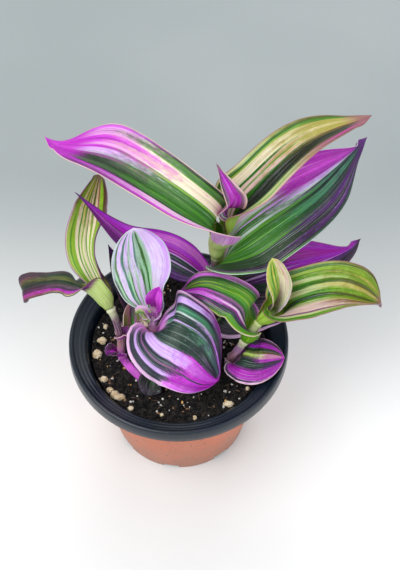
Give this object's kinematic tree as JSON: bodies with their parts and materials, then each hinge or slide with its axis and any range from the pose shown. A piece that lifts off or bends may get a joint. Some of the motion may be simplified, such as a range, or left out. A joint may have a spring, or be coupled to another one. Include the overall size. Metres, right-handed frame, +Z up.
{
  "type": "potted tradescantia",
  "caption": "Round nursery pot of soil with leafy shoots of a striped, trailing tradescantia whose leaves clasp their stems and spread over the rim.",
  "frame": {"origin": "centre of the pot's underside, on the surface the pot stands on", "axes": "+Z up along the pot's axis, +X to the right as pictured, +Y away from the camera"},
  "size_m": [0.1714, 0.1258, 0.1754],
  "materials": {
    "pot": "satin thin-walled moulded plastic, terracotta outside below the lip, charcoal on the lip and inside",
    "soil": "dark crumbly peat with perlite and fertiliser beads",
    "stem": "smooth fleshy stem, pink to reddish brown",
    "leaf": "glossy leaf striped green, cream, pink and purple lengthwise"
  },
  "bodies": {
    "root": {"pot": "pot", "soil": "soil", "stem_main": "stem", "stem_left": "stem", "stem_front": "stem", "stem_right": "stem", "leaf_main_left": "leaf", "leaf_main_top": "leaf", "leaf_main_right": "leaf", "leaf_main_young": "leaf", "leaf_main_low_left": "leaf", "leaf_main_low_right": "leaf", "leaf_main_basal": "leaf", "leaf_left_upright": "leaf", "leaf_left_drooping": "leaf", "leaf_left_inner": "leaf", "leaf_left_basal": "leaf", "leaf_front_upright": "leaf", "leaf_front_heart": "leaf", "leaf_front_young": "leaf", "leaf_front_back": "leaf", "leaf_front_basal": "leaf", "leaf_right_arched": "leaf", "leaf_right_long": "leaf", "leaf_right_young": "leaf", "leaf_right_oval": "leaf"}
  },
  "joints": []
}
